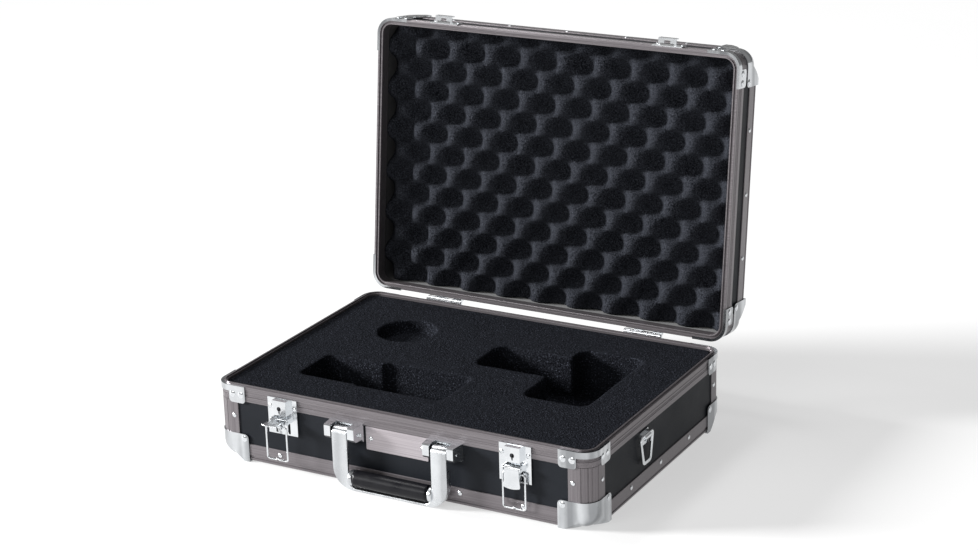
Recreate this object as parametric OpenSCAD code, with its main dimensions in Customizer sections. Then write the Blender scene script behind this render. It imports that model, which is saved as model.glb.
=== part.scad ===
// Aluminium attache case with a foam-lined base and an egg-crate lid, standing open.
// Millimetres. +X is to the right seen from the front, -Y is the front, +Z is up.
// The origin is under the middle of the base, on the plane that the corner caps stand on.

/* [Case] */
// Width over the aluminium edges
case_w = 460; // [440:5:500]
// Depth over the aluminium edges
case_d = 325; // [310:5:360]
// Height of the base, from the ground to the split
base_h = 88; // [86:1:110]
// Height of the lid, from the split to the top
lid_h = 56; // [56:1:80]
// Outer radius of the upright corners
corner_r = 18; // [16:0.5:20]
// Angle that the lid is opened by, from closed
lid_open = 96.7; // [60:0.1:100]

/* [Walls] */
// Thickness of the plywood panels
panel_t = 4; // [3:0.5:5]
// Thickness of the aluminium edge extrusions
skin_t = 1.2; // [1:0.1:1.5]
// Thickness of the steel corner caps and plates
cap_t = 1.2; // [1:0.1:1.5]
// Height of the ribbed band under the split
rim_band = 17.5; // [16:0.5:20]
// Height of the band along the bottom and top edges
edge_band = 21; // [20:0.5:24]
// Length of each leg of the upright corner extrusions
post_leg = 28; // [26:0.5:32]

/* [Corners] */
// Reach of a corner cap along each side
cap_reach = 40; // [38:0.5:44]
// Height of a corner cap
cap_h = 32; // [30:0.5:34]
// Reach of a rim corner plate along each side
plate_reach = 38.5; // [36:0.5:42]
// Height of the riveted tabs of a rim corner plate
plate_tab_h = 19.5; // [18:0.5:22]

/* [Foam] */
// Drop of the base foam below the split
foam_drop = 2; // [1:0.5:6]
// Thickness of the pad under the base foam
pad_t = 10; // [6:1:14]
// Depth of the lid foam's peaks below the split
lid_foam_drop = 12; // [8:1:16]
// Depth of the recesses for the equipment
recess_depth = 52; // [30:1:60]

/* [Latches] */
// Distance of each latch from the middle
latch_x = 142.5; // [130:0.5:155]
// Angle that the left lever is raised by
left_lever_raised = 90; // [60:5:100]
// Length of a bail from its pivot to the middle of its bar
bail_len = 39.4; // [38:0.1:39.6]

/* [Handle] */
// Distance of each handle bracket from the middle
bracket_x = 60.3; // [58:0.1:64]
// Length of the black grip
grip_len = 92; // [84:1:98]
// Radius of the black grip
grip_r = 9.3; // [8:0.1:9.5]

/* [Fittings] */
// Distance of each hinge from the middle
hinge_x = 130.5; // [110:0.5:140]
// Length of each hinge
hinge_w = 46; // [40:1:60]
// Distance of the strap rings in front of the middle
strap_y = 42; // [20:1:60]

/* [Hidden] */
// Width of the joints between the blocks of the foam insert
foam_gap = 0.05;
// Depth of the round recess for a filter
filter_depth = 14;
$fn = 64;

// Gap left at the split when the lid is shut
split_gap = 0.2;
// Height of the lid's own shell, and of the whole case when shut
lid_shell_h = lid_h - split_gap;
shut_h = base_h + lid_h;
// Hinge axis
hinge_back = 4.6;
hinge_y = case_d / 2 + hinge_back;
hinge_barrel_r = 3.4;
hinge_pin_r = 1.65;
hinge_knuckles = 4;
// Radial clearance of every turning fit
fit = 0.05;
// Where a corner cap stops blending into the square edge, and where the edge bars end
fade = 15;
bar_end = corner_r + fade;
// Inset of the panels' inner faces, and of the inner lip of the rim
wall_in = skin_t + panel_t;
lip_in = wall_in + skin_t;
rim_web = 2.5;
lip_drop = 14;
// Floor panel and what stands on it
floor_z = 2 * cap_t;
floor_top = floor_z + panel_t;
side_foot = 9;
lining_t = 0.8;
// Width of the flange that the edge bars turn under the case
bar_flange = 20;
// Rivets
rivet_r = 2.6;
corner_rivet_r = 3.6;
rivet_h = 1.4;
rivet_pitch_x = 75;
rivet_pitch_y = 73;
// Latch pivots: distance out from the front face and height
lever_out = 8;
lever_z = 60;
lever_pin_r = 1.1;
bail_dx = 13;
bail_wire_r = 1.1;
bail_drop_out = -3;
bail_drop_z = -7;
// Handle pivot
handle_out = 11;
handle_z = 63.5;
handle_pin_r = 1.6;
arm_gap = [-10.3, 10.7];
arm_x = [-9.3, 9.7];
bow_front = 18.2;
bow_t = 3.8;
// Strap ring pivot: distance out from the side face and height
ring_out = 3.4;
ring_z = 62;
ring_wire_r = 1.5;

aluminium = "#a59b9e";
steel = "#d4d8db";
black_panel = "#26292e";
foam_black = "#1c1e20";
lining_black = "#141516";

// ---- Helpers ----

// A filled rectangle with true round corners, about the origin
module rounded_rect(w, d, r) {
    square([w - 2 * r, d], center = true);
    square([w, d - 2 * r], center = true);
    for (x = [-1, 1], y = [-1, 1])
        translate([x * (w / 2 - r), y * (d / 2 - r)]) circle(r);
}

// A profile drawn as [inset, height] and taken once round the case
module ring_sweep(w, d, r) {
    for (turn = [0:3]) {
        side = turn % 2 == 0 ? w : d;
        reach = turn % 2 == 0 ? d : w;
        rotate([0, 0, 90 * turn]) {
            translate([r - side / 2, -reach / 2, 0])
                rotate([90, 0, 90]) linear_extrude(side - 2 * r) children();
            translate([side / 2 - r, r - reach / 2, 0])
                rotate([0, 0, -90]) rotate_extrude(angle = 90)
                    translate([r, 0]) mirror([1, 0]) children();
        }
    }
}

// The same thing at all four corners: x and y are measured inwards from the corner
module at_corners() {
    for (x = [-1, 1], y = [-1, 1])
        translate([x * case_w / 2, y * case_d / 2, 0])
            mirror([x > 0 ? 1 : 0, 0, 0]) mirror([0, y > 0 ? 1 : 0, 0]) children();
}

// A block in front of the front face: out is the distance from that face
module out_block(x, out, z) {
    translate([x[0], -out[1], z[0]]) cube([x[1] - x[0], out[1] - out[0], z[1] - z[0]]);
}

// A round bar along X, at a distance out from the front face
module out_rod(x, out, z, r) {
    translate([x[0], -out, z]) rotate([0, 90, 0]) cylinder(h = x[1] - x[0], r = r);
}

// A side profile drawn as [out, height] and extruded along X
module out_extrude(x) {
    translate([x[0], 0, 0]) mirror([0, 1, 0]) rotate([90, 0, 90]) linear_extrude(x[1] - x[0]) children();
}

// A round wire in the XY plane, from the origin along +X: each step is [length] or [bend radius, angle]
module wire(steps, r, i = 0) {
    if (i < len(steps)) {
        step = steps[i];
        if (len(step) == 1) {
            rotate([0, 90, 0]) cylinder(h = step[0], r = r);
            translate([step[0], 0, 0]) wire(steps, r, i + 1);
        } else {
            side = sign(step[1]);
            bend = abs(step[1]);
            translate([0, side * step[0], 0]) {
                rotate([0, 0, side > 0 ? -90 : 90 - bend])
                    rotate_extrude(angle = bend) translate([step[0], 0]) circle(r, $fn = 24);
                rotate([0, 0, step[1]]) translate([0, -side * step[0], 0]) wire(steps, r, i + 1);
            }
        }
    }
}

// A domed rivet head that stands on the XY plane
module rivet(r) {
    rotate_extrude($fn = 32) {
        square([r, 0.4]);
        intersection() {
            translate([0, 0.4 - (r * r - 1) / 2]) circle((r * r + 1) / 2, $fn = 64);
            translate([0, 0.3]) square([r, rivet_h]);
        }
    }
}

// Rivet heads on the four sides: x runs along the side, proud is their height off the face
module side_rivet(turn, x, z, proud = 0, r = rivet_r) {
    reach = turn % 2 == 0 ? case_d : case_w;
    rotate([0, 0, 90 * turn]) translate([x, -reach / 2 - proud, z]) rotate([90, 0, 0]) rivet(r);
}

// Puts a shell built like the base on top of the shut case, then opens it
module lid_frame() {
    translate([0, hinge_y, base_h]) rotate([-lid_open, 0, 0]) translate([0, -hinge_y, -base_h]) children();
}

module lid_shell() {
    lid_frame() translate([0, 0, shut_h]) mirror([0, 0, 1]) children();
}

// ---- Shell pieces, shared by the base and the lid: h is the height of the split ----

module floor_panel() {
    x = case_w / 2 - wall_in;
    y = case_d / 2 - wall_in;
    cut = bar_end - wall_in;
    translate([0, 0, floor_z]) linear_extrude(panel_t)
        polygon([[-x + cut, -y], [x - cut, -y], [x, -y + cut], [x, y - cut],
            [x - cut, y], [-x + cut, y], [-x, y - cut], [-x, -y + cut]]);
}

// A wall panel; its lower corners are cut away inside the corner caps
module wall_panel(turn, h) {
    side = turn % 2 == 0 ? case_w : case_d;
    reach = turn % 2 == 0 ? case_d : case_w;
    x = side / 2 - corner_r;
    foot_x = side / 2 - bar_end;
    rotate([0, 0, 90 * turn]) translate([0, skin_t + panel_t - reach / 2, 0])
        rotate([90, 0, 0]) linear_extrude(panel_t)
            polygon([[-foot_x, side_foot], [foot_x, side_foot], [x, cap_t + corner_r + 2.8],
                [x, h - rim_web], [-x, h - rim_web], [-x, cap_t + corner_r + 2.8]]);
}

// The rim: a ribbed band outside, a lip inside, and a tongue or a groove on top
module rim_profile(h, tongue) {
    low = h - rim_band;
    difference() {
        polygon([[0.4, h], [0, h - 0.4], [0, h - 3.2], [0.5, h - 3.6], [0.5, h - 6.1], [0.1, h - 6.5],
            [0.1, h - 7.1], [0.5, h - 7.5], [0.5, h - 9.4], [0.1, h - 9.8], [0.1, h - 10.4],
            [0.5, h - 10.8], [0.5, h - 11.2], [0, h - 11.6], [0, low + 0.4], [0.4, low], [skin_t, low],
            [skin_t, h - rim_web], [wall_in, h - rim_web], [wall_in, h - lip_drop], [lip_in, h - lip_drop],
            [lip_in, h - 0.4], [lip_in - 0.4, h]]);
        if (!tongue) translate([2.5, h - 2]) square([2.4, 3]);
    }
    if (tongue) translate([2.9, h - 0.1]) square([1.6, 1.5]);
}

module rim_frame(h, tongue) {
    difference() {
        ring_sweep(case_w, case_d, corner_r) rim_profile(h, tongue);
        at_corners() rim_plate_top(h, 0.05, 1);
    }
}

module edge_bar_profile() {
    polygon([[2.6, 1.2], [1.5, 1.6], [0.8, 2.4], [0.6, 3.2], [0.2, 3.6], [0.2, 4.8], [1, 5.3], [1, 7.6],
        [0, 8.4], [0, edge_band - 0.4], [0.4, edge_band], [skin_t, edge_band], [skin_t, side_foot],
        [wall_in, side_foot], [wall_in, floor_z], [bar_flange, floor_z], [bar_flange, 1.2]]);
}

// Four edge extrusions, which end inside the corner caps
module edge_bars() {
    for (turn = [0:3]) {
        side = turn % 2 == 0 ? case_w : case_d;
        reach = turn % 2 == 0 ? case_d : case_w;
        rotate([0, 0, 90 * turn]) translate([bar_end - side / 2, -reach / 2, 0])
            rotate([90, 0, 90]) linear_extrude(side - 2 * bar_end) edge_bar_profile();
    }
}

// A quarter ring about the upright corner's axis, in the corner's own coordinates
module corner_arc(outer, inner) {
    translate([corner_r, corner_r]) intersection() {
        difference() {
            circle(outer);
            circle(inner);
        }
        translate([-2 * corner_r, -2 * corner_r]) square(2 * corner_r);
    }
}

// An upright corner extrusion: a thick quarter ring with two flanges and three fine grooves
module corner_post(h) {
    foot = cap_t + corner_r + 2.8;
    top = h - rim_band - 0.1;
    core_in = corner_r - wall_in;
    translate([0, 0, top]) linear_extrude(h - rim_web - top) corner_arc(corner_r - skin_t, core_in);
    translate([0, 0, foot]) linear_extrude(top - foot) difference() {
        union() {
            corner_arc(corner_r, core_in);
            translate([corner_r, 0]) square([post_leg - corner_r, skin_t]);
            translate([0, corner_r]) square([skin_t, post_leg - corner_r]);
        }
        for (a = [14, 38, 52, 76])
            translate([corner_r - corner_r * cos(a), corner_r - corner_r * sin(a)]) circle(0.55, $fn = 16);
    }
}

// The solid that a corner cap wraps: a ball at the foot, blended by cones into square edges
module corner_lump(r, reach, top) {
    c = corner_r;
    zc = corner_r + cap_t;
    low = zc - r;
    translate([c, c, zc]) rotate([0, 0, 180]) rotate_extrude(angle = 90) {
        intersection() {
            circle(r);
            translate([0, -r]) square(r);
        }
        translate([0, -0.01]) square([r, top - zc + 0.01]);
    }
    for (swap = [0, 1]) mirror([swap, -swap, 0]) {
        translate([c, c - r, zc]) cube([reach - c, r + 0.01, top - zc]);
        translate([c + fade, c - r, low]) cube([reach - c - fade, r + 0.01, r + 0.01]);
        intersection() {
            translate([c, c - r, low]) cube([fade + 0.01, r + 0.01, r + 0.01]);
            translate([c, c, zc]) rotate([0, 90, 0]) cylinder(h = fade + 0.01, r1 = r, r2 = r * sqrt(2) + 0.1);
        }
    }
    translate([c, c, low]) cube([reach - c, reach - c, top - low]);
}

module corner_cap() {
    difference() {
        corner_lump(corner_r + cap_t, cap_reach, cap_h);
        corner_lump(corner_r, cap_reach + 1, cap_h + 1);
        // The lower flange ends on a slant
        rotate([0, 0, 45]) translate([1.05 * cap_reach, -cap_reach, -1]) cube([cap_reach, 2 * cap_reach, 3]);
        // The upper corner of each leg is rounded
        for (swap = [0, 1]) mirror([swap, -swap, 0])
            translate([cap_reach - 5, 1, cap_h - 5]) rotate([90, 0, 0]) linear_extrude(4) difference() {
                square(6);
                circle(5);
            }
    }
}

// The upper flange of a rim corner plate; grow and rise enlarge it to cut its seat
module rim_plate_top(h, grow, rise) {
    translate([0, 0, h - 0.8 - grow]) linear_extrude(0.8 + grow + rise) {
        corner_arc(corner_r + cap_t + grow, corner_r - 2.1 - grow);
        for (swap = [0, 1]) mirror([swap, -swap])
            translate([corner_r, -cap_t - grow])
                square([plate_reach - corner_r + grow, cap_t + 2.1 + 2 * grow]);
    }
}

// A rim corner plate: a strip round the corner, a riveted tab each side and a flange on the rim
module rim_plate(h) {
    rim_plate_top(h, 0, 0);
    translate([0, 0, h - 7]) linear_extrude(6.2) corner_arc(corner_r + cap_t, corner_r);
    tab = plate_reach - corner_r;
    for (swap = [0, 1]) mirror([swap, -swap, 0]) translate([corner_r, 0, h - plate_tab_h])
        rotate([90, 0, 0]) linear_extrude(cap_t) {
            translate([0, 4]) square([tab, plate_tab_h - 4.8]);
            translate([4, 0]) square([tab - 8, 4]);
            for (x = [4, tab - 4]) translate([x, 4]) circle(4);
        }
}

// The rivet heads that both shells have
module shell_rivets(h) {
    for (turn = [0:3]) {
        side = turn % 2 == 0 ? case_w : case_d;
        pitch = turn % 2 == 0 ? rivet_pitch_x : rivet_pitch_y;
        span = turn % 2 == 0 ? 2 : 1;
        for (i = [-span:span]) side_rivet(turn, i * pitch, 15);
        for (s = [-1, 1]) {
            side_rivet(turn, s * (side / 2 - 34.5), 27, cap_t, corner_rivet_r);
            side_rivet(turn, s * (side / 2 - 33.2), h - 10, cap_t, corner_rivet_r);
            side_rivet(turn, s * (side / 2 - 22.6), h - 10, cap_t, corner_rivet_r);
        }
    }
}

module lining(low, top) {
    w = case_w - 2 * wall_in;
    d = case_d - 2 * wall_in;
    r = corner_r - wall_in;
    translate([0, 0, low]) linear_extrude(top - low) difference() {
        rounded_rect(w - 0.02, d - 0.02, r);
        rounded_rect(w - 2 * lining_t, d - 2 * lining_t, r - lining_t);
    }
}

module foam_block(low, top) {
    inset = lip_in + 0.2;
    translate([0, 0, low]) linear_extrude(top - low)
        rounded_rect(case_w - 2 * inset, case_d - 2 * inset, corner_r - inset);
}

// ---- Base ----

// The panel has a flat field on its underside, inside the edge bars and the corner caps
module base_floor_panel() {
    low = cap_t + skin_t;
    color(black_panel) union() {
        floor_panel();
        translate([-case_w / 2 + 44, -case_d / 2 + 44, low - 0.4]) cube([case_w - 88, case_d - 88, 1.4]);
    }
}

module base_front_panel() {
    color(black_panel) wall_panel(0, base_h);
}

module base_right_panel() {
    color(black_panel) wall_panel(1, base_h);
}

module base_back_panel() {
    color(black_panel) wall_panel(2, base_h);
}

module base_left_panel() {
    color(black_panel) wall_panel(3, base_h);
}

module base_rim_frame() {
    color(aluminium) rim_frame(base_h, true);
}

module base_edge_bars() {
    color(aluminium) edge_bars();
}

module base_corner_posts() {
    color(aluminium) at_corners() corner_post(base_h);
}

module base_corner_caps() {
    color(steel) at_corners() corner_cap();
}

module base_rim_plates() {
    color(steel) at_corners() rim_plate(base_h);
}

module base_rivets() {
    color(steel) {
        shell_rivets(base_h);
        for (turn = [0:3]) {
            side = turn % 2 == 0 ? case_w : case_d;
            for (s = [-1, 1]) side_rivet(turn, s * (side / 2 - 22.5), 52.5);
        }
        for (s = [-1, 1]) {
            side_rivet(0, s * 32, 57, -0.2);
            for (x = [-15.3, 15.3]) side_rivet(0, s * latch_x + x, 73.5, 1.5);
            for (x = [-16, 0, 16]) side_rivet(2, s * hinge_x + x, base_h - 15, 1.5);
        }
    }
}

module base_lining() {
    color(lining_black) lining(floor_top, base_h - lip_drop);
}

module base_pad() {
    color(foam_black) foam_block(floor_top, floor_top + pad_t);
}

// A block of the insert, cut to the case's outline
module foam_part(x, y, low, top) {
    intersection() {
        foam_block(low, top);
        translate([x[0] + foam_gap / 2, y[0] + foam_gap / 2, low - 1])
            cube([x[1] - x[0] - foam_gap, y[1] - y[0] - foam_gap, top - low + 2]);
    }
}

// The point of a square's outline at an angle
function square_point(half, angle) = half / max(abs(cos(angle)), abs(sin(angle))) * [cos(angle), sin(angle)];

// A square block with a round hole, in twelve wedges
module foam_ring(half, r, low, top) {
    for (k = [0:11]) {
        start = 15 + 30 * k + 0.05;
        end = 45 + 30 * k - 0.05;
        translate([0, 0, low]) linear_extrude(top - low) polygon([
            r * [cos(start), sin(start)], square_point(half - foam_gap / 2, start),
            square_point(half - foam_gap / 2, end), r * [cos(end), sin(end)]]);
    }
}

// A slab, and blocks on it round the recesses for a flash gun, for a camera with its lens, and
// for a filter. The blocks are a hairline apart.
module base_foam() {
    top = base_h - foam_drop;
    low = top - recess_depth;
    far = case_w;
    color(foam_black) {
        foam_block(floor_top + pad_t, low - foam_gap);
        foam_part([-far, -165], [-far, far], low, top);
        foam_part([-165, -94], [-far, -97], low, top);
        foam_part([-165, -94], [-35, 23], low, top);
        foam_part([-165, -79], [109, far], low, top);
        foam_part([-94, 18], [-far, -101], low, top);
        foam_part([-94, -3], [-27, 23], low, top);
        foam_part([-79, -3], [23, far], low, top);
        foam_part([-3, 18], [-27, 9], low, top);
        foam_part([18, 89], [-far, 9], low, top);
        foam_part([-3, 89], [71, far], low, top);
        foam_part([89, 167], [-far, -50], low, top);
        foam_part([89, 167], [98, far], low, top);
        foam_part([167, far], [-far, far], low, top);
        foam_part([-165, -79], [23, 109], low, top - filter_depth - foam_gap);
        translate([-122, 66]) foam_ring(43, 34, top - filter_depth, top);
    }
}

module nameplate() {
    color(aluminium) translate([0, skin_t - case_d / 2, 57]) rotate([90, 0, 0])
        linear_extrude(1) rounded_rect(76, 26.4, 1);
}

// ---- Handle: local x from each bracket's middle, out from the front face ----

module at_front(x) {
    translate([x, -case_d / 2, 0]) children();
}

module handle_bracket() {
    color(steel) difference() {
        intersection() {
            out_extrude([-21, 21]) polygon([[-skin_t, 52.5], [-skin_t, 70.3], [0, 70.3], [0, 72.5], [17, 72.5],
                [bow_front, 71.3], [bow_front, 59.5], [14.7, 56], [5, 56], [2, 52.5]]);
            linear_extrude(100) polygon([[-20.5, 2], [-20.5, -1], [-18.3, -19], [18.3, -19], [20.5, -1], [20.5, 2]]);
        }
        out_block(arm_gap, [1.8, 30], [40, 70.5]);
        out_block(arm_gap, [5, 30], [40, 80]);
        out_rod([-30, 30], handle_out, handle_z, handle_pin_r);
    }
}

module handle_bracket_left() {
    at_front(-bracket_x) mirror([1, 0, 0]) handle_bracket();
}

module handle_bracket_right() {
    at_front(bracket_x) handle_bracket();
}

module handle_pins() {
    color(steel) for (s = [-1, 1]) at_front(s * bracket_x) out_rod([-19.8, 19.8], handle_out, handle_z, handle_pin_r);
}

// Outline of the bow seen from the front, shrunk by inset
module bow_outline(inset) {
    half = bracket_x + arm_x[1] - inset;
    low = 1 + inset;
    r = 24 - inset;
    translate([-half, low + r]) square([2 * half, handle_z - low - r]);
    translate([-half + r, low]) square([2 * (half - r), r + 1]);
    for (s = [-1, 1]) translate([s * (half - r), low + r]) circle(r);
}

module bow_window() {
    half = bracket_x + arm_x[0];
    translate([-half, 24]) square([2 * half, 60]);
    translate([-half + 20, 4.2]) square([2 * half - 40, 20]);
    for (s = [-1, 1]) translate([s * (half - 19.8), 24]) circle(19.8);
}

module handle_bow() {
    eye = bracket_x;
    color(steel) translate([0, -case_d / 2, 0]) difference() {
        union() {
            // Face plate, cut back round the grip
            difference() {
                translate([0, bow_t - bow_front, 0]) rotate([90, 0, 0]) linear_extrude(bow_t) difference() {
                    bow_outline(0);
                    bow_window();
                }
                out_rod([-grip_len / 2 - 0.2, grip_len / 2 + 0.2], 12.5, 13.6, grip_r + 0.2);
            }
            // Rear flange round the outside of the lower corners
            translate([0, -9, 0]) rotate([90, 0, 0]) linear_extrude(bow_front - 9 - 1) difference() {
                bow_outline(0);
                bow_outline(2.6);
                translate([-100, 44]) square([200, 40]);
            }
            // Core bar inside the grip, with a lug at each end
            out_rod([-eye, eye], 12.5, 13.6, 4);
            for (s = [-1, 1]) out_rod(s > 0 ? [grip_len / 2, grip_len / 2 + 6] : [-grip_len / 2 - 6, -grip_len / 2],
                12.5, 13.6, grip_r - 0.8);
            // Eyes on the bracket pins
            for (s = [-1, 1]) translate([s * eye, 0, 0]) {
                ends = s > 0 ? arm_x : [-arm_x[1], -arm_x[0]];
                out_rod(ends, handle_out, handle_z, 7);
            }
        }
        for (s = [-1, 1]) translate([s * eye, 0, 0]) out_rod([-15, 15], handle_out, handle_z, handle_pin_r + fit);
    }
}

module handle_grip() {
    color(foam_black) at_front(0) difference() {
        out_rod([-grip_len / 2, grip_len / 2], 12.5, 13.6, grip_r);
        out_rod([-grip_len, grip_len], 12.5, 13.6, 4);
    }
}

// ---- Latches: local x from the latch's middle ----

module latch_plate() {
    color(steel) {
        difference() {
            union() {
                at_front(0) out_block([-18.6, 18.6], [0, 1.5], [42, 83.5]);
                at_front(0) out_block([-17, 17], [-skin_t, 0.1], [44, 70.2]);
                // A step that the lever's cheeks close over
                at_front(0) out_block([-6.6, 6.6], [1.4, 2.6], [45.5, 66.3]);
            }
            at_front(0) translate([0, 1, 58]) rotate([90, 0, 0]) cylinder(h = 5, r = 1.5);
            for (x = [-8, 8]) at_front(x) out_block([-1.3, 1.3], [-4, 4], [43.6, 55.6]);
        }
        // Ears that hold the lever's pin
        at_front(0) for (s = [-1, 1]) difference() {
            ends = s > 0 ? [9, 10.4] : [-10.4, -9];
            union() {
                out_block(ends, [1.4, lever_out], [lever_z - 3, lever_z + 3]);
                out_rod(ends, lever_out, lever_z, 3.2);
            }
            out_rod([-20, 20], lever_out, lever_z, lever_pin_r);
        }
    }
}

module lock_housing() {
    color(steel) at_front(0) difference() {
        out_block([-8.7, 8.7], [1.5, 8], [66.2, 83]);
        translate([0, -6.8, 73.8]) rotate([-90, 0, 0]) cylinder(h = 5.3, r = 4.8);
        translate([0, -9, 73.8]) rotate([-90, 0, 0]) cylinder(h = 4, r = 2.6);
        out_block([-0.9, 0.9], [6, 9], [68.6, 73.8]);
    }
}

module lock_cylinder() {
    color("#4a4c50") at_front(0) difference() {
        translate([0, -6.7, 73.8]) rotate([-90, 0, 0]) cylinder(h = 5.1, r = 4.6);
        out_block([-0.6, 0.6], [4, 9], [71, 76.6]);
    }
}

module latch_pin() {
    color(steel) at_front(0) out_rod([-11, 11], lever_out, lever_z, lever_pin_r);
}

// Turns a latch piece about the lever's pin by the angle that the lever is raised
module raised(angle) {
    translate([0, -case_d / 2 - lever_out, lever_z]) rotate([-angle, 0, 0])
        translate([0, case_d / 2 + lever_out, -lever_z]) children();
}

module latch_lever(angle) {
    color(steel) raised(angle) at_front(0) difference() {
        union() {
            out_rod([-8.4, 8.4], lever_out, lever_z, 2.8);
            // The finger plate flares towards its free end
            translate([0, -9.3, 0]) rotate([90, 0, 0]) linear_extrude(1.2)
                polygon([[-8.4, lever_z], [-8.2, lever_z - 5], [-9.4, 40], [-10.2, 38.4], [-9.6, 37.4],
                    [9.6, 37.4], [10.2, 38.4], [9.4, 40], [8.2, lever_z - 5], [8.4, lever_z]]);
            // Cheeks that carry the bail
            for (s = [-1, 1]) out_extrude(s > 0 ? [7.1, 8.3] : [-8.3, -7.1])
                polygon([[3, 51.2], [5.6, 50.4], [9.8, 49], [9.8, 59], [7, 58.4], [3, 55]]);
        }
        out_rod([-20, 20], lever_out, lever_z, lever_pin_r + fit);
        out_rod([-20, 20], lever_out + bail_drop_out, lever_z + bail_drop_z, bail_wire_r + fit);
    }
}

// Where the bail's pivot goes when the lever is raised
function bail_out(angle) = lever_out + bail_drop_out * cos(angle) - bail_drop_z * sin(angle);
function bail_z(angle) = lever_z + bail_drop_out * sin(angle) + bail_drop_z * cos(angle);

// The bail hangs straight down from its pivot, with a small kink in the middle of its bar
module latch_bail(angle) {
    bend = 3;
    kink = 2;
    dip = 40;
    tip = 1;
    half_bar = bail_dx - bend - 2 * kink * sin(dip);
    steps = [[bail_dx - tip - bend], [bend, 90], [bail_len - 2 * bend], [bend, 90], [half_bar],
        [kink, dip], [kink, -2 * dip], [kink, dip], [half_bar],
        [bend, 90], [bail_len - 2 * bend], [bend, 90], [bail_dx - tip - bend]];
    color(steel) at_front(0) translate([-tip, -bail_out(angle), bail_z(angle)])
        rotate([90, 0, 0]) rotate([0, 0, 180]) wire(steps, bail_wire_r);
}

// A small tube between the lever's cheeks, into which both ends of the bail's wire run
module latch_sleeve(angle) {
    color(steel) at_front(0) difference() {
        out_rod([-6.9, 6.9], bail_out(angle), bail_z(angle), 1.9);
        out_rod([-8, 8], bail_out(angle), bail_z(angle), bail_wire_r + fit);
    }
}

module latch_plate_left() {
    translate([-latch_x, 0, 0]) latch_plate();
}

module latch_plate_right() {
    translate([latch_x, 0, 0]) latch_plate();
}

module lock_housing_left() {
    translate([-latch_x, 0, 0]) lock_housing();
}

module lock_housing_right() {
    translate([latch_x, 0, 0]) lock_housing();
}

module lock_cylinder_left() {
    translate([-latch_x, 0, 0]) lock_cylinder();
}

module lock_cylinder_right() {
    translate([latch_x, 0, 0]) lock_cylinder();
}

module latch_pin_left() {
    translate([-latch_x, 0, 0]) latch_pin();
}

module latch_pin_right() {
    translate([latch_x, 0, 0]) latch_pin();
}

module latch_lever_left() {
    translate([-latch_x, 0, 0]) latch_lever(left_lever_raised);
}

module latch_lever_right() {
    translate([latch_x, 0, 0]) latch_lever(0);
}

module latch_sleeve_left() {
    translate([-latch_x, 0, 0]) latch_sleeve(left_lever_raised);
}

module latch_sleeve_right() {
    translate([latch_x, 0, 0]) latch_sleeve(0);
}

module latch_bail_left() {
    translate([-latch_x, 0, 0]) latch_bail(left_lever_raised);
}

module latch_bail_right() {
    translate([latch_x, 0, 0]) latch_bail(0);
}

// ---- Strap rings: drawn on the front face and turned to the side ----

module on_side(s) {
    rotate([0, 0, 90 * s]) translate([-s * strap_y, -case_w / 2, 0]) children();
}

module strap_bracket() {
    saddle_r = ring_wire_r + 1.4;
    color(steel) difference() {
        union() {
            out_block([-10, 10], [-skin_t, 0.5], [52, 68]);
            out_block([-7, 7], [0, ring_out], [ring_z - saddle_r, ring_z + saddle_r]);
            out_rod([-7, 7], ring_out, ring_z, saddle_r);
        }
        out_rod([-20, 20], ring_out, ring_z, ring_wire_r + fit);
    }
}

// A stamped ring, broad at its round pivot bar and narrow below
module strap_ring() {
    plate_t = 2.4;
    color(steel) {
        translate([0, plate_t / 2 - ring_out, ring_z]) rotate([90, 0, 0]) linear_extrude(plate_t) difference() {
            polygon([[-13, 3], [-15.6, 1.2], [-16.2, -3], [-11.4, -29], [-9, -32.6], [-6, -34],
                [6, -34], [9, -32.6], [11.4, -29], [16.2, -3], [15.6, 1.2], [13, 3]]);
            polygon([[-11, 5], [-11.4, 0], [-12.4, -3], [-8, -27.6], [-6, -30.4],
                [6, -30.4], [8, -27.6], [12.4, -3], [11.4, 0], [11, 5]]);
        }
        out_rod([-12, 12], ring_out, ring_z, ring_wire_r);
    }
}

module strap_bracket_left() {
    on_side(-1) strap_bracket();
}

module strap_bracket_right() {
    on_side(1) strap_bracket();
}

module strap_ring_left() {
    on_side(-1) strap_ring();
}

module strap_ring_right() {
    on_side(1) strap_ring();
}

// ---- Hinges: knuckles are shared out in turn between the two leaves ----

// One leaf, for a half that lies below (side 0) or above (side 1) the axis when shut
module hinge_leaf(side) {
    up = side == 0 ? -1 : 1;
    pitch = hinge_w / hinge_knuckles;
    color(steel) translate([0, hinge_y, base_h]) difference() {
        union() {
            translate([-hinge_w / 2, -hinge_back, up > 0 ? 4 : -24]) cube([hinge_w, 1.5, 20]);
            for (k = [side : 2 : hinge_knuckles - 1])
                translate([k * pitch - hinge_w / 2 + 0.2, 0, 0]) {
                    rotate([0, 90, 0]) cylinder(h = pitch - 0.4, r = hinge_barrel_r);
                    translate([0, -hinge_back, up > 0 ? 0.5 : -6]) cube([pitch - 0.4, 3.4, 5.5]);
                }
        }
        translate([-hinge_w, 0, 0]) rotate([0, 90, 0]) cylinder(h = 2 * hinge_w, r = hinge_pin_r + fit);
    }
}

module hinge_base_leaf_left() {
    translate([-hinge_x, 0, 0]) hinge_leaf(0);
}

module hinge_base_leaf_right() {
    translate([hinge_x, 0, 0]) hinge_leaf(0);
}

module hinge_lid_leaf_left() {
    lid_frame() translate([-hinge_x, 0, 0]) hinge_leaf(1);
}

module hinge_lid_leaf_right() {
    lid_frame() translate([hinge_x, 0, 0]) hinge_leaf(1);
}

module hinge_pins() {
    color(steel) for (s = [-1, 1]) translate([s * hinge_x - hinge_w / 2 - 0.6, hinge_y, base_h])
        rotate([0, 90, 0]) cylinder(h = hinge_w + 1.2, r = hinge_pin_r);
}

// ---- Lid ----

module lid_top_panel() {
    color(black_panel) lid_shell() floor_panel();
}

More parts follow.
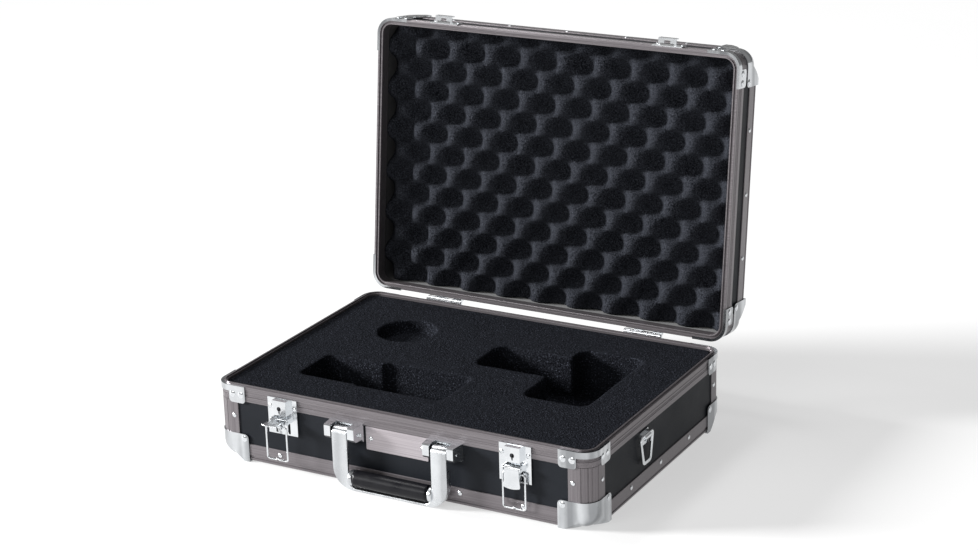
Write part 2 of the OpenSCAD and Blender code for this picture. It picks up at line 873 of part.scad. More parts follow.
module lid_front_panel() {
    color(black_panel) lid_shell() wall_panel(0, lid_shell_h);
}

module lid_right_panel() {
    color(black_panel) lid_shell() wall_panel(1, lid_shell_h);
}

module lid_back_panel() {
    color(black_panel) lid_shell() wall_panel(2, lid_shell_h);
}

module lid_left_panel() {
    color(black_panel) lid_shell() wall_panel(3, lid_shell_h);
}

module lid_rim_frame() {
    color(aluminium) lid_shell() rim_frame(lid_shell_h, false);
}

module lid_edge_bars() {
    color(aluminium) lid_shell() edge_bars();
}

module lid_corner_posts() {
    color(aluminium) lid_shell() at_corners() corner_post(lid_shell_h);
}

module lid_corner_caps() {
    color(steel) lid_shell() at_corners() corner_cap();
}

module lid_rim_plates() {
    color(steel) lid_shell() at_corners() rim_plate(lid_shell_h);
}

module lid_rivets() {
    color(steel) {
        lid_shell() shell_rivets(lid_shell_h);
        lid_frame() for (s = [-1, 1]) {
            for (x = [-15, 15]) side_rivet(0, s * latch_x + x, 99, 1.2);
            for (x = [-16, 0, 16]) side_rivet(2, s * hinge_x + x, base_h + 15, 1.5);
        }
    }
}

module lid_lining() {
    color(lining_black) lid_shell() lining(floor_top, lid_shell_h - lip_drop);
}

module lid_foam() {
    color(foam_black) lid_shell() foam_block(floor_top, lid_shell_h - lid_foam_drop);
}

// A catch: a plate with a hook that opens upwards, so that the bail's bar drops behind its lip
module lid_catch() {
    color(steel) lid_frame() at_front(0) difference() {
        union() {
            out_block([-18.3, 18.3], [0, 1.2], [base_h + 1.2, base_h + 15]);
            out_block([-11, 11], [1, 9.5], [base_h + 2, base_h + 3.2]);
            out_block([-11, 11], [8.3, 9.5], [base_h + 2.1, base_h + 9]);
        }
        out_block([-8.5, 8.5], [1.2, 3.6], [base_h, base_h + 6]);
        // Room for the kink in the bail's bar
        out_block([-3.6, 3.6], [1.2, 7.4], [base_h, base_h + 6]);
    }
}

module lid_catch_left() {
    translate([-latch_x, 0, 0]) lid_catch();
}

module lid_catch_right() {
    translate([latch_x, 0, 0]) lid_catch();
}

base_floor_panel();
base_front_panel();
base_back_panel();
base_left_panel();
base_right_panel();
base_rim_frame();
base_edge_bars();
base_corner_posts();
base_corner_caps();
base_rim_plates();
base_rivets();
base_lining();
base_pad();
base_foam();
nameplate();
handle_bracket_left();
handle_bracket_right();
handle_pins();
handle_bow();
handle_grip();
latch_plate_left();
latch_plate_right();
lock_housing_left();
lock_housing_right();
lock_cylinder_left();
lock_cylinder_right();
latch_pin_left();
latch_pin_right();
latch_lever_left();
latch_lever_right();
latch_sleeve_left();
latch_sleeve_right();
latch_bail_left();
latch_bail_right();
strap_bracket_left();
strap_bracket_right();
strap_ring_left();
strap_ring_right();
hinge_base_leaf_left();
hinge_base_leaf_right();
hinge_lid_leaf_left();
hinge_lid_leaf_right();
hinge_pins();
lid_top_panel();
lid_front_panel();
lid_back_panel();
lid_left_panel();
lid_right_panel();
lid_rim_frame();
lid_edge_bars();
lid_corner_posts();
lid_corner_caps();
lid_rim_plates();
lid_rivets();
lid_lining();
lid_foam();
lid_catch_left();
lid_catch_right();
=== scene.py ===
"""Attache case with a cut foam insert and an egg-crate lid. Metres, in the CAD model's frame."""

import math

import bmesh
import bpy
from mathutils import Matrix, Vector, noise


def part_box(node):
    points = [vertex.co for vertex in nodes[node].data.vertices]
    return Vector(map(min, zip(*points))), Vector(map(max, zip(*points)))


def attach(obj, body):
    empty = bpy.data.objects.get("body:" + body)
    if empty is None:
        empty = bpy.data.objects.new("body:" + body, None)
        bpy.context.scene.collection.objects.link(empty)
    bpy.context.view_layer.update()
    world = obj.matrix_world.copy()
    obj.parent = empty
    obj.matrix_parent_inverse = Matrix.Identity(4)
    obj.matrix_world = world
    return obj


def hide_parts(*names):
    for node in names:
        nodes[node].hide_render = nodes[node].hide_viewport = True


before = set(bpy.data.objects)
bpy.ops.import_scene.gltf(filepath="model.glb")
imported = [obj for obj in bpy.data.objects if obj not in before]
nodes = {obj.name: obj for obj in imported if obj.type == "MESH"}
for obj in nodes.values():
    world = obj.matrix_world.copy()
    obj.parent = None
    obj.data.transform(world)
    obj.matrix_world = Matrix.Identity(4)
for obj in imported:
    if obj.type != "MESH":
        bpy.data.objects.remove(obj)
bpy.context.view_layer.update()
scene = bpy.context.scene
MM = 0.001

LID_OPEN = math.radians(96.7)
HINGE = Vector((0, 0.1671, 0.088))
SHUT_H = 0.144
FRONT = -0.1625          # the face of the front edges; the panel lies a little behind it
LATCH_X = 0.1425
FOAM_CORNER = 0.0114     # radius of the upright corners of both foams

# From the lid's own frame (z down from its top when it is shut) to its open place.
LID = (Matrix.Translation(HINGE) @ Matrix.Rotation(-LID_OPEN, 4, "X") @ Matrix.Translation(-HINGE)
       @ Matrix.Translation((0, 0, SHUT_H)) @ Matrix.Diagonal((1, 1, -1, 1)))
# From a drawing of the front (x, height, distance out) to the model.
TO_FRONT = Matrix.Translation((0, FRONT, 0)) @ Matrix.Rotation(math.pi / 2, 4, "X")


# ---- Materials ----

class Shader:
    """A Principled material and short ways to add nodes to it."""

    def __init__(self, name, **sockets):
        self.mat = bpy.data.materials.new(name)
        self.mat.use_nodes = True
        self.tree = self.mat.node_tree
        self.bsdf = self.tree.nodes["Principled BSDF"]
        for key, value in sockets.items():
            self.bsdf.inputs[key.replace("_", " ")].default_value = value
        self.coords = self.add("ShaderNodeTexCoord").outputs["Object"]

    def feed(self, socket, value):
        """Links an output to the socket, or gives it a plain value."""
        if isinstance(value, bpy.types.NodeSocket):
            self.tree.links.new(value, socket)
        else:
            socket.default_value = value

    def add(self, kind, inputs=None, **props):
        node = self.tree.nodes.new(kind)
        for key, value in props.items():
            setattr(node, key, value)
        for key, value in (inputs or {}).items():
            self.feed(node.inputs[key], value)
        return node

    def stretched(self, x, y, z):
        return self.add("ShaderNodeMapping", {"Vector": self.coords, "Scale": (x, y, z)}).outputs[0]

    def noise(self, scale, detail=2.0, rough=0.5, vector=None):
        return self.add("ShaderNodeTexNoise", {"Vector": vector or self.coords, "Scale": scale,
                                               "Detail": detail, "Roughness": rough}).outputs["Fac"]

    def cells(self, scale, vector=None):
        """Distance to the middle of the nearest cell."""
        return self.add("ShaderNodeTexVoronoi", {"Vector": vector or self.coords,
                                                 "Scale": scale}).outputs["Distance"]

    def ramp(self, fac, low, high, out_low=0.0, out_high=1.0):
        return self.add("ShaderNodeMapRange", {"Value": fac, "From Min": low, "From Max": high,
                                               "To Min": out_low, "To Max": out_high}).outputs[0]

    def mix(self, fac, a, b):
        node = self.add("ShaderNodeMix", data_type="RGBA")
        fac_in, a_in, b_in = node.inputs[0], node.inputs[6], node.inputs[7]
        self.feed(fac_in, fac)
        self.feed(a_in, a)
        self.feed(b_in, b)
        return node.outputs[2]

    def bump(self, height, strength, distance):
        """A bump on top of the bumps that are there already."""
        node = self.add("ShaderNodeBump", {"Height": height, "Strength": strength, "Distance": distance})
        normal = self.bsdf.inputs["Normal"]
        if normal.links:
            self.tree.links.new(normal.links[0].from_socket, node.inputs["Normal"])
        self.tree.links.new(node.outputs[0], normal)

    def set(self, socket, output):
        self.tree.links.new(output, self.bsdf.inputs[socket])


def rgb(r, g, b, tone=1.0):
    return (tone * r, tone * g, tone * b, 1.0)


def aluminium(name, along, tone=1.0):
    """Warm grey anodised aluminium, with fine drawing lines along one axis."""
    s = Shader(name, Metallic=0.6, Roughness=0.34)
    across_lines, along_lines = 1400.0, 6.0
    scale = [across_lines] * 3
    scale[along] = along_lines
    lines = s.noise(1.0, 3.0, 0.6, s.stretched(*scale))
    cloud = s.noise(9.0, 3.0)
    deep, plain = rgb(0.125, 0.112, 0.119, tone), rgb(0.225, 0.206, 0.216, tone)
    grey = rgb(0.165, 0.156, 0.165, tone)
    colour = s.mix(s.ramp(lines, 0.3, 0.7), deep, plain)
    s.set("Base Color", s.mix(s.ramp(cloud, 0.3, 0.7, 0.0, 0.3), colour, grey))
    s.set("Roughness", s.ramp(lines, 0.3, 0.7, 0.27, 0.42))
    s.bump(lines, 0.12, 0.0002)
    return s.mat


def bright_steel(name="bright_steel", rough=0.17, tone=1.0, painted_reflection_bands=0.0):
    """Nickel-plated steel, a little wavy and smudged; a tone below 1 is darker, and dark upright bands of
    painted reflection are mixed into the colour by the given amount.
    """
    s = Shader(name, Metallic=1.0, Roughness=rough)
    smudge = s.noise(45.0, 4.0, 0.6)
    speck = s.noise(900.0, 2.0)
    clean, dull = rgb(0.80, 0.82, 0.84, tone), rgb(0.68, 0.70, 0.72, tone)
    colour = s.mix(s.ramp(smudge, 0.35, 0.7), clean, dull)
    if painted_reflection_bands:
        # Painted reflection: dark upright bands in the base colour stand in for reflections of the
        # surroundings.
        reflection_band_noise = s.noise(1.0, 2.0, 0.5, s.stretched(50, 50, 4))
        colour = s.mix(s.ramp(reflection_band_noise, 0.42, 0.60, 0.0, painted_reflection_bands), colour, rgb(0.10, 0.105, 0.115))
    s.set("Base Color", colour)
    s.set("Roughness", s.ramp(smudge, 0.35, 0.75, rough - 0.03, rough + 0.10))
    s.bump(s.noise(30.0, 1.0), 0.25, 0.0006)
    s.bump(speck, 0.05, 0.0001)
    return s.mat


def black_panel():
    """Matt black laminate with a fine pebble."""
    s = Shader("black_panel", Roughness=0.5, Specular_IOR_Level=0.16)
    pebble = s.cells(1300.0)
    cloud = s.noise(14.0, 4.0, 0.55)
    tone = s.mix(s.ramp(cloud, 0.3, 0.7), rgb(0.0075, 0.0095, 0.0135), rgb(0.0115, 0.0140, 0.0190))
    s.set("Base Color", s.mix(s.ramp(pebble, 0.1, 0.6, 0.0, 0.5), tone, rgb(0.005, 0.006, 0.008)))
    s.set("Roughness", s.ramp(cloud, 0.3, 0.7, 0.44, 0.58))
    s.bump(pebble, 0.35, 0.0003)
    return s.mat


def foam_material(name, dark, light, specks):
    """Open-cell foam: pores, and paler specks where cut cells catch the light."""
    s = Shader(name, Roughness=0.95, Specular_IOR_Level=0.03)
    pore = s.cells(620.0)
    speck = s.noise(560.0, 1.0, 0.6)
    cloud = s.noise(22.0, 3.0)
    tone = s.mix(s.ramp(pore, 0.15, 0.75), rgb(*light), rgb(*dark))
    tone = s.mix(s.ramp(speck, 0.58, 0.72, 0.0, specks), tone, rgb(*light, 4.5))
    tone = s.mix(s.ramp(cloud, 0.3, 0.7, 0.0, 0.4), tone, rgb(*light, 0.7))
    s.set("Base Color", tone)
    s.bump(pore, 0.7, 0.0008)
    s.bump(s.noise(300.0, 2.0), 0.4, 0.0010)
    return s.mat


def moulded_plastic():
    """The grip's black plastic, a little shiny."""
    s = Shader("moulded_plastic", Roughness=0.38, Specular_IOR_Level=0.22)
    grain = s.noise(1500.0, 2.0)
    cloud = s.noise(40.0, 3.0)
    s.set("Base Color", s.mix(s.ramp(cloud, 0.3, 0.7), rgb(0.004, 0.004, 0.006), rgb(0.008, 0.008, 0.010)))
    s.set("Roughness", s.ramp(cloud, 0.3, 0.7, 0.26, 0.38))
    s.bump(grain, 0.25, 0.0002)
    return s.mat


def lining_cloth():
    """The black cloth on the inside walls."""
    s = Shader("lining_cloth", Roughness=0.9, Sheen_Weight=0.2)
    weave = s.cells(1.0, s.stretched(900, 900, 900))
    s.set("Base Color", s.mix(weave, rgb(0.016, 0.016, 0.018), rgb(0.006, 0.006, 0.007)))
    s.bump(weave, 0.4, 0.0003)
    return s.mat


def dark_steel():
    """The lock cylinders."""
    s = Shader("dark_steel", Metallic=1.0, Roughness=0.35)
    rings = s.noise(700.0, 2.0)
    s.set("Base Color", s.mix(rings, rgb(0.05, 0.05, 0.055), rgb(0.10, 0.10, 0.11)))
    s.bump(rings, 0.2, 0.0002)
    return s.mat


ALU_X = aluminium("anodised_along_x", 0)
ALU_PLATE = aluminium("nameplate_aluminium", 0, 2.3)
ALU_Z = aluminium("anodised_upright", 2)
STEEL = bright_steel()
# The last number is the strength of the painted upright reflection bands on the bow and the corner caps.
STEEL_SATIN = bright_steel("satin_steel", 0.25, 0.92, 0.3)
STEEL_CAPS = bright_steel("corner_steel", 0.13, 0.88, 0.62)
PANEL = black_panel()
FOAM = foam_material("foam", (0.0040, 0.0044, 0.0060), (0.0160, 0.0176, 0.0225), 0.75)
FOAM_LID = foam_material("foam_lid", (0.0052, 0.0058, 0.0078), (0.0380, 0.0410, 0.0500), 0.2)
PLASTIC = moulded_plastic()
CLOTH = lining_cloth()
DARK = dark_steel()

# The first row with a word that is in a CAD node's name gives the node its material; the last takes the rest.
LOOKS = (
    (("panel",), PANEL),
    (("foam", "base_pad"), FOAM),
    (("lining",), CLOTH),
    (("rim_frame", "edge_bars"), ALU_X),
    (("nameplate",), ALU_PLATE),
    (("corner_posts",), ALU_Z),
    (("grip",), PLASTIC),
    (("cylinder",), DARK),
    (("caps", "rim_plates"), STEEL_CAPS),
    (("",), STEEL),
)

for node_name in nodes:
    look = next(material for words, material in LOOKS if any(word in node_name for word in words))
    slots = nodes[node_name].data.materials
    slots.clear()
    slots.append(look)


# ---- Mesh helpers ----

def linked(name, data):
    """A new object in the scene."""
    obj = bpy.data.objects.new(name, data)
    scene.collection.objects.link(obj)
    return obj


def piece(name, mesh, material, body):
    """A visible piece of the case that rides on a body."""
    obj = linked(name, mesh)
    mesh.materials.clear()
    mesh.materials.append(material)
    for face in mesh.polygons:
        face.use_smooth = True
    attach(obj, body)
    return obj


def mesh_from(bm, name):
    """The bmesh as a mesh; the bmesh is freed."""
    mesh = bpy.data.meshes.new(name)
    bm.to_mesh(mesh)
    bm.free()
    return mesh


def apply_modifiers(obj):
    """The object's mesh with its modifiers applied; the object is removed."""
    graph = bpy.context.evaluated_depsgraph_get()
    mesh = bpy.data.meshes.new_from_object(obj.evaluated_get(graph))
    bpy.data.objects.remove(obj)
    return mesh


def bevelled(mesh, width, segments, angle=35, matrix=None):
    """The mesh with edges sharper than the angle rounded, then placed."""
    obj = linked("bevel", mesh)
    mod = obj.modifiers.new("bevel", "BEVEL")
    mod.width = width
    mod.segments = segments
    mod.limit_method = "ANGLE"
    mod.angle_limit = math.radians(angle)
    mesh = apply_modifiers(obj)
    if matrix:
        mesh.transform(matrix)
    return mesh


def joined(name, meshes):
    """One mesh out of several."""
    bm = bmesh.new()
    for mesh in meshes:
        bm.from_mesh(mesh)
    return mesh_from(bm, name)


def keep_sharp_edges(obj):
    """Marks the sharp edges of a piece that is shaded smooth."""
    sharp = math.radians(40)
    bm = bmesh.new()
    bm.from_mesh(obj.data)
    for e in bm.edges:
        e.smooth = len(e.link_faces) == 2 and e.calc_face_angle() < sharp
    bm.to_mesh(obj.data)
    bm.free()


def rounded_clamp(x, y, half_w, half_d, r):
    """The nearest point inside a rectangle with round corners."""
    cx, cy = half_w - r, half_d - r
    dx, dy = abs(x) - cx, abs(y) - cy
    if dx > 0 and dy > 0:
        d = math.hypot(dx, dy)
        if d > r:
            return math.copysign(cx + dx * r / d, x), math.copysign(cy + dy * r / d, y)
    return max(-half_w, min(half_w, x)), max(-half_d, min(half_d, y))


def arc(cx, cy, r, start, end, steps):
    """Points along an arc, from one angle in degrees to another."""
    turns = [math.radians(start + (end - start) * k / steps) for k in range(steps + 1)]
    return [(cx + r * math.cos(a), cy + r * math.sin(a)) for a in turns]


def rounded_outline(cx, cy, w, d, r):
    """A rectangle with round corners."""
    points = []
    for i, (sx, sy) in enumerate(((1, 1), (-1, 1), (-1, -1), (1, -1))):
        points += arc(cx + sx * (w / 2 - r), cy + sy * (d / 2 - r), r, 90 * i, 90 * (i + 1), 8)
    return points


def prism(points, low, high):
    """A closed prism over an outline in the XY plane."""
    bm = bmesh.new()
    face = bm.faces.new([bm.verts.new((x, y, low)) for x, y in points])
    top = bmesh.ops.extrude_face_region(bm, geom=[face])
    lifted = [v for v in top["geom"] if isinstance(v, bmesh.types.BMVert)]
    bmesh.ops.translate(bm, verts=lifted, vec=(0, 0, high - low))
    bmesh.ops.recalc_face_normals(bm, faces=bm.faces)
    return mesh_from(bm, "prism")


def turned(profile, centre, segments=48):
    """A solid of revolution about a line along X through the centre; the profile is (x, radius) pairs."""
    turns = [2 * math.pi * k / segments for k in range(segments)]
    bm = bmesh.new()
    loops = [[bm.verts.new((x, r * math.cos(a), r * math.sin(a))) for a in turns] for x, r in profile]
    for a, b in zip(loops, loops[1:]):
        for k in range(segments):
            after = (k + 1) % segments
            bm.faces.new((a[k], b[k], b[after], a[after]))
    bm.faces.new(loops[0])
    bm.faces.new(loops[-1][::-1])
    bmesh.ops.recalc_face_normals(bm, faces=bm.faces)
    mesh = mesh_from(bm, "turned")
    mesh.transform(Matrix.Translation(centre))
    return mesh


def rounded_rod(x0, x1, r, edge, centre):
    """A rod along X with rounded ends."""
    left = arc(x0 + edge, r - edge, edge, 180, 90, 4)
    right = arc(x1 - edge, r - edge, edge, 90, 0, 4)
    return turned(left + right, centre)


# ---- Foam in the base ----

GEAR_DEPTH = 52 * MM         # of the recesses for the camera, the lens and the flash gun
FILTER_DEPTH = 14 * MM
FILTER_R = 0.034
# Middle x and y, width, depth and corner radius in mm. A short neck joins each pair of recesses.
RECESSES = (
    (-126, -66, 78, 62, 8),
    (-38, -64, 112, 74, 10),
    (-84, -66, 20, 54, 1),
    (128, 24, 78, 148, 12),
    (50, 40, 106, 62, 14),
    (94, 40, 20, 61.9, 1),
)


def base_foam():
    """One block with recesses cut in it, its edges softened and its top a little uneven."""
    low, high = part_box("base_foam")
    w, d = high.x - low.x, high.y - low.y
    top = high.z
    block = linked("block", prism(rounded_outline(0, 0, w, d, FOAM_CORNER), low.z, top))
    cuts = [(rounded_outline(*[v * MM for v in recess]), GEAR_DEPTH) for recess in RECESSES]
    cuts.append((arc(-0.122, 0.066, FILTER_R, 0, 360, 64)[:-1], FILTER_DEPTH))
    cutters = []
    for outline, depth in cuts:
        cutter = linked("cutter", prism(outline, top - depth, top + 0.02))
        cutters.append(cutter)
        mod = block.modifiers.new("cut", "BOOLEAN")
        mod.operation = "DIFFERENCE"
        mod.solver = "EXACT"
        mod.object = cutter
    mod = block.modifiers.new("remesh", "REMESH")
    mod.mode = "VOXEL"
    mod.voxel_size = 0.0022
    mod = block.modifiers.new("smooth", "SMOOTH")
    mod.factor = 0.5
    mod.iterations = 2
    mesh = apply_modifiers(block)
    for cutter in cutters:
        bpy.data.objects.remove(cutter)
    border = 0.004           # this close to the walls, the foam stays as it was cut
    for v in mesh.vertices:
        p = v.co
        if abs(p.x) < w / 2 - border and abs(p.y) < d / 2 - border:
            lift = 0.5 * MM * noise.noise(p * 24) + 0.25 * MM * noise.noise(p * 90)
            p.z = min(p.z + lift - 0.3 * MM, top)
    obj = piece("foam_insert", mesh, FOAM, "base")
    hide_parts("base_foam")


base_foam()


# ---- Egg-crate foam in the lid ----

def egg_crate():
    """Peaks and pits in rows that are offset by half a pitch, drawn in the lid's own frame."""
    half_w, half_d = 0.2234, 0.1559
    pitch_x, pitch_y = 47.2 * MM, 50.2 * MM
    first_x, first_y = 9.0 * MM, -28.5 * MM
    peak, depth, back = 43.6 * MM, 22 * MM, 6.6 * MM
    uneven = 0.5 * MM
    broad_peaks, broad_pits = 0.66, 0.85      # powers below 1 flatten the tops and the bottoms
    nx, ny = 264, 184
    bm = bmesh.new()

    def height(x, y):
        f = (math.cos(2 * math.pi * (x - first_x) / pitch_x)
             * math.cos(2 * math.pi * (y - first_y) / pitch_y))
        f = f ** broad_peaks if f > 0 else -(-f) ** broad_pits
        wave = uneven * noise.noise(Vector((x * 14, y * 14, 3)))
        return peak - depth * (0.5 - 0.5 * f) + wave - uneven

    rows = []
    for j in range(ny + 1):
        row = []
        for i in range(nx + 1):
            x = half_w * (2 * i / nx - 1)
            y = half_d * (2 * j / ny - 1)
            x, y = rounded_clamp(x, y, half_w, half_d, FOAM_CORNER)
            row.append(bm.verts.new((x, y, height(x, y))))
        rows.append(row)
    for j in range(ny):
        for i in range(nx):
            bm.faces.new((rows[j][i], rows[j][i + 1], rows[j + 1][i + 1], rows[j + 1][i]))
    side = bmesh.ops.extrude_edge_only(bm, edges=[e for e in bm.edges if e.is_boundary])
    for v in side["geom"]:
        if isinstance(v, bmesh.types.BMVert):
            v.co.z = back
    bmesh.ops.holes_fill(bm, edges=[e for e in bm.edges if e.is_boundary], sides=0)
    bmesh.ops.transform(bm, matrix=LID, verts=bm.verts)
    bmesh.ops.recalc_face_normals(bm, faces=bm.faces)
    obj = piece("foam_egg_crate", mesh_from(bm, "egg_crate"), FOAM_LID, "lid")
    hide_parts("lid_foam")


egg_crate()


# ---- Handle ----

def handle():
    """A bent bow of thick strip with a rear rim, and a moulded grip held between two lugs."""
    half, inner = 0.070, 0.0512               # outer and inner edges of the bow's arms
    r_out, r_in = 0.024, 0.0105
    top, low, window_z = 0.0660, 0.001, 0.0142
    rim_top, rim_t = 0.044, 0.0026
    pivot = (0, FRONT - 0.011, 0.0635)
    grip_y, grip_z = FRONT - 0.0125, 0.0137
    left_x, right_x, corner_z = -half + r_out, half - r_out, low + r_out

    outline = [(-half, top)] + arc(left_x, corner_z, r_out, 180, 270, 16)
    outline += arc(right_x, corner_z, r_out, 270, 360, 16) + [(half, top)]
    outline += [(inner, top)] + arc(inner - r_in, window_z, r_in, 0, -88, 12)
    outline += arc(-inner + r_in, window_z, r_in, 268, 180, 12) + [(-inner, top)]
    face = bevelled(prism(outline, 0.0146, 0.0182), 0.0011, 3, matrix=TO_FRONT)

    rim = arc(left_x, corner_z, r_out, 172, 270, 16) + arc(right_x, corner_z, r_out, 270, 368, 16)
    rim = [(-half, rim_top)] + rim[1:-1] + [(half, rim_top)]
    rim += [(half - rim_t, rim_top)] + arc(right_x, corner_z, r_out - rim_t, 360, 270, 16)
    rim += arc(left_x, corner_z, r_out - rim_t, 270, 180, 16) + [(-half + rim_t, rim_top)]
    flange = bevelled(prism(rim, 0.0092, 0.0160), 0.0007, 2, matrix=TO_FRONT)

    parts = [face, flange]
    for s in (-1, 1):
        start, end = sorted((s * inner, s * half))
        parts.append(rounded_rod(start + 0.0002, end - 0.0002, 0.0069, 0.0008, pivot))
        start, end = sorted((s * 0.0460, s * 0.0515))
        parts.append(rounded_rod(start, end, 0.0086, 0.0018, (0, grip_y, grip_z)))
    obj = piece("bow", joined("bow", parts), STEEL_SATIN, "handle")
    keep_sharp_edges(obj)
    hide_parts("handle_bow")

    grip_half, grip_r, end_round = 0.0459, 0.0075, 0.0022
    rings = 60
    profile = []
    for i in range(rings + 1):
        x = grip_half * (2 * i / rings - 1)
        edge = min(1.0, (grip_half - abs(x)) / end_round)
        r = grip_r + 0.0017 * math.sqrt(max(0.0, 1 - (1 - edge) ** 2))
        r += 0.0002 * math.cos(math.pi * x / (2 * grip_half))
        profile.append((x, r))
    mesh = turned(profile, (0, grip_y, grip_z), 72)
    for v in mesh.vertices:
        out = Vector((0, v.co.y - grip_y, v.co.z - grip_z))
        angle = math.atan2(out.z, out.y)
        mould_line = 0.00025 * math.exp(-(math.sin(angle) / 0.05) ** 2)
        v.co -= out.normalized() * mould_line
    grip = piece("grip", mesh, PLASTIC, "handle")
    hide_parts("handle_grip")


# ---- Latch levers ----

BARREL = Vector((0, FRONT - 0.008, 0.060))
PLATE_TOP, PLATE_LENGTH, PLATE_HALF, PLATE_OUT = 0.0612, 0.0238, 0.0083, 0.0098
# A cheek's outline: distance out from the front, and height.
CHEEK = ((0.0030, 0.0512), (0.0036, 0.0500), (0.0050, 0.0494), (0.0078, 0.0488), (0.0096, 0.0440),
         (0.0099, 0.0400), (0.0099, 0.0590), (0.0070, 0.0584), (0.0044, 0.0562), (0.0032, 0.0540))
# From a cheek's drawing (distance in, height, x) to the model.
FROM_CHEEK = (Matrix.Translation((0, FRONT, 0))
              @ Matrix(((0, 0, 1, 0), (1, 0, 0, 0), (0, 1, 0, 0), (0, 0, 0, 1))))


def finger_plate():
    """The lever's plate: it flares towards its free end, which is slightly curved."""
    nx, nz = 16, 20
    bm = bmesh.new()
    grid = []
    for j in range(nz + 1):
        t = j / nz
        waist = 0.0004 * math.sin(math.pi * min(1, t * 2))
        flare = 0.0020 * max(0, t - 0.35) ** 1.3 / 0.65 ** 1.3
        width = PLATE_HALF - waist + flare
        corner = 1 - 0.10 * max(0, (t - 0.9) / 0.1) ** 2
        out = PLATE_OUT - 0.0006 * math.sin(math.pi * t) + 0.0006 * t * t
        row = []
        for i in range(nx + 1):
            u = 2 * i / nx - 1
            z = PLATE_TOP - t * (PLATE_LENGTH - 0.0016 * u * u)
            row.append(bm.verts.new((u * width * corner, z, out)))
        grid.append(row)
    for j in range(nz):
        for i in range(nx):
            bm.faces.new((grid[j][i], grid[j + 1][i], grid[j + 1][i + 1], grid[j][i + 1]))
    obj = linked("plate", mesh_from(bm, "plate"))
    mod = obj.modifiers.new("thick", "SOLIDIFY")
    mod.thickness = 0.0011
    mod.offset = 0
    return bevelled(apply_modifiers(obj), 0.0003, 2, 50, TO_FRONT)


def lever(side):
    """A rolled barrel, a finger plate and two cheeks. The left lever rests raised by a quarter turn."""
    parts = [finger_plate(), rounded_rod(-0.0084, 0.0084, 0.0028, 0.0004, BARREL)]
    for s in (-1, 1):
        start, end = sorted((s * 0.0071, s * 0.0083))
        plate = prism([(-out, z) for out, z in CHEEK], start, end)
        plate.transform(FROM_CHEEK)
        parts.append(bevelled(plate, 0.0002, 2))
    mesh = joined("lever", parts)
    x = LATCH_X
    if side == "left":
        x = -LATCH_X
        mesh.transform(Matrix.Translation(BARREL) @ Matrix.Rotation(-math.pi / 2, 4, "X")
                       @ Matrix.Translation(-BARREL))
    mesh.transform(Matrix.Translation((x, 0, 0)))
    obj = piece("lever_" + side, mesh, STEEL, "lever_" + side)
    keep_sharp_edges(obj)
    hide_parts("latch_lever_" + side)


# ---- Strap rings ----

SIDE_X = 0.230           # the face of the right edges
RING_AHEAD = 0.042       # from the case's middle towards the front
RING_Z = 0.062


def ring_outline(top, bottom):
    """A closed outline of four arcs; top and bottom are the right arcs' middle x, z and radius."""
    (top_x, top_z, top_r), (low_x, low_z, low_r) = top, bottom
    steps = 14
    points = arc(-top_x, top_z, top_r, 186, 90, steps) + arc(top_x, top_z, top_r, 90, -6, steps)
    points += arc(low_x, low_z, low_r, -14, -90, steps) + arc(-low_x, low_z, low_r, 270, 194, steps)
    return points


def ring(side):
    """A stamped ring with rounded edges, broad at the top and narrow below, and a round pivot bar."""
    s = 1 if side == "right" else -1
    outer = ring_outline((0.0112, -0.0012, 0.0046), (0.0052, -0.0252, 0.0056))
    hole = ring_outline((0.0094, -0.0048, 0.0026), (0.0044, -0.0240, 0.0026))
    back, front = 0.0022, 0.0046              # distances out from the side
    bm = bmesh.new()
    loops = [[bm.verts.new((x, z + RING_Z, level)) for x, z in points]
             for points, level in ((outer, back), (outer, front), (hole, front), (hole, back))]
    for a, b in zip(loops, loops[1:] + loops[:1]):
        for k in range(len(outer)):
            after = (k + 1) % len(outer)
            bm.faces.new((a[k], a[after], b[after], b[k]))
    bmesh.ops.recalc_face_normals(bm, faces=bm.faces)
    to_side = Matrix.Rotation(s * math.pi / 2, 4, "Z") @ Matrix.Translation((-s * RING_AHEAD, -SIDE_X, 0))
    mesh = bevelled(mesh_from(bm, "ring"), 0.0009, 3, 50, to_side @ Matrix.Rotation(math.pi / 2, 4, "X"))
    bar = rounded_rod(-0.0125, 0.0125, 0.0015, 0.0003, (0, -(back + front) / 2, RING_Z))
    bar.transform(to_side)
    obj = piece("ring_" + side, joined("ring", [mesh, bar]), STEEL, "ring_" + side)
    keep_sharp_edges(obj)
    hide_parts("strap_ring_" + side)


handle()
for which in ("left", "right"):
    lever(which)
    ring(which)


# ---- Floor, lights and camera ----

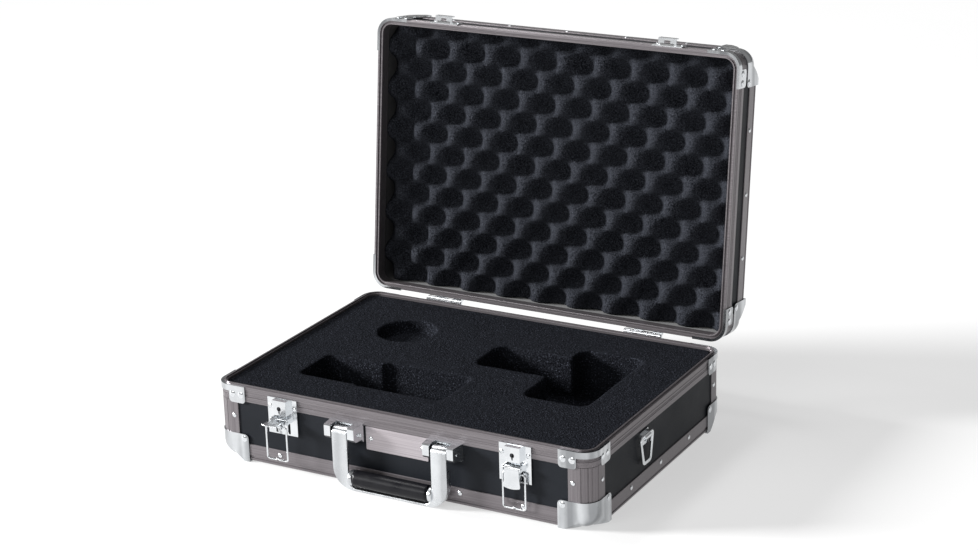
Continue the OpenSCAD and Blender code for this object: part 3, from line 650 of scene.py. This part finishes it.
def aim(obj, direction):
    """Turns a light to shine along the direction."""
    obj.rotation_euler = Vector(direction).to_track_quat("-Z", "Y").to_euler()


def area_light(name, location, target, size, energy):
    light = bpy.data.lights.new(name, "AREA")
    light.shape = "RECTANGLE"
    light.size, light.size_y = size
    light.energy = energy
    obj = linked(name, light)
    obj.location = location
    aim(obj, Vector(target) - Vector(location))


def studio():
    """A white floor that glows a little, a low sun from the left and two soft boxes."""
    half = 20
    mesh = bpy.data.meshes.new("floor")
    mesh.from_pydata([(-half, -half, 0), (half, -half, 0), (half, half, 0), (-half, half, 0)],
                     [], [(0, 1, 2, 3)])
    floor = linked("floor", mesh)
    s = Shader("pale_floor", Roughness=0.9, Specular_IOR_Level=0.1,
               Emission_Color=rgb(1, 1, 1), Emission_Strength=0.52)
    s.set("Base Color", s.mix(s.noise(3.0), rgb(0.44, 0.44, 0.44), rgb(0.46, 0.46, 0.46)))
    mesh.materials.append(s.mat)

    world = bpy.data.worlds.new("studio")
    world.use_nodes = True
    background = world.node_tree.nodes["Background"].inputs
    background["Color"].default_value = rgb(1, 1, 1)
    background["Strength"].default_value = 0.25
    scene.world = world
    scene.view_settings.view_transform = "Standard"

    key = bpy.data.lights.new("key", "SUN")
    key.energy = 7.0
    key.angle = math.radians(13)
    aim(linked("key", key), (0.86, 0.40, -0.31))
    middle = (0, 0, 0.1)
    area_light("front", (-0.6, -2.4, 1.2), middle, (1.4, 0.8), 16)
    area_light("top", (-1.1, 0.3, 2.1), middle, (1.2, 0.5), 16)


def camera():
    data = bpy.data.cameras.new("camera")
    data.sensor_width = 36
    data.lens = 83.585
    data.clip_end = 50
    obj = linked("camera", data)
    right = Vector((0.875462, 0.482567, -0.026377))
    down = Vector((0.138444, -0.302705, -0.942976))
    ahead = Vector((-0.463033, 0.821887, -0.331815))
    turn = Matrix((right, -down, -ahead)).transposed().to_4x4()
    obj.matrix_world = Matrix.Translation((1.16675, -2.02556, 1.01476)) @ turn
    scene.camera = obj


studio()
camera()
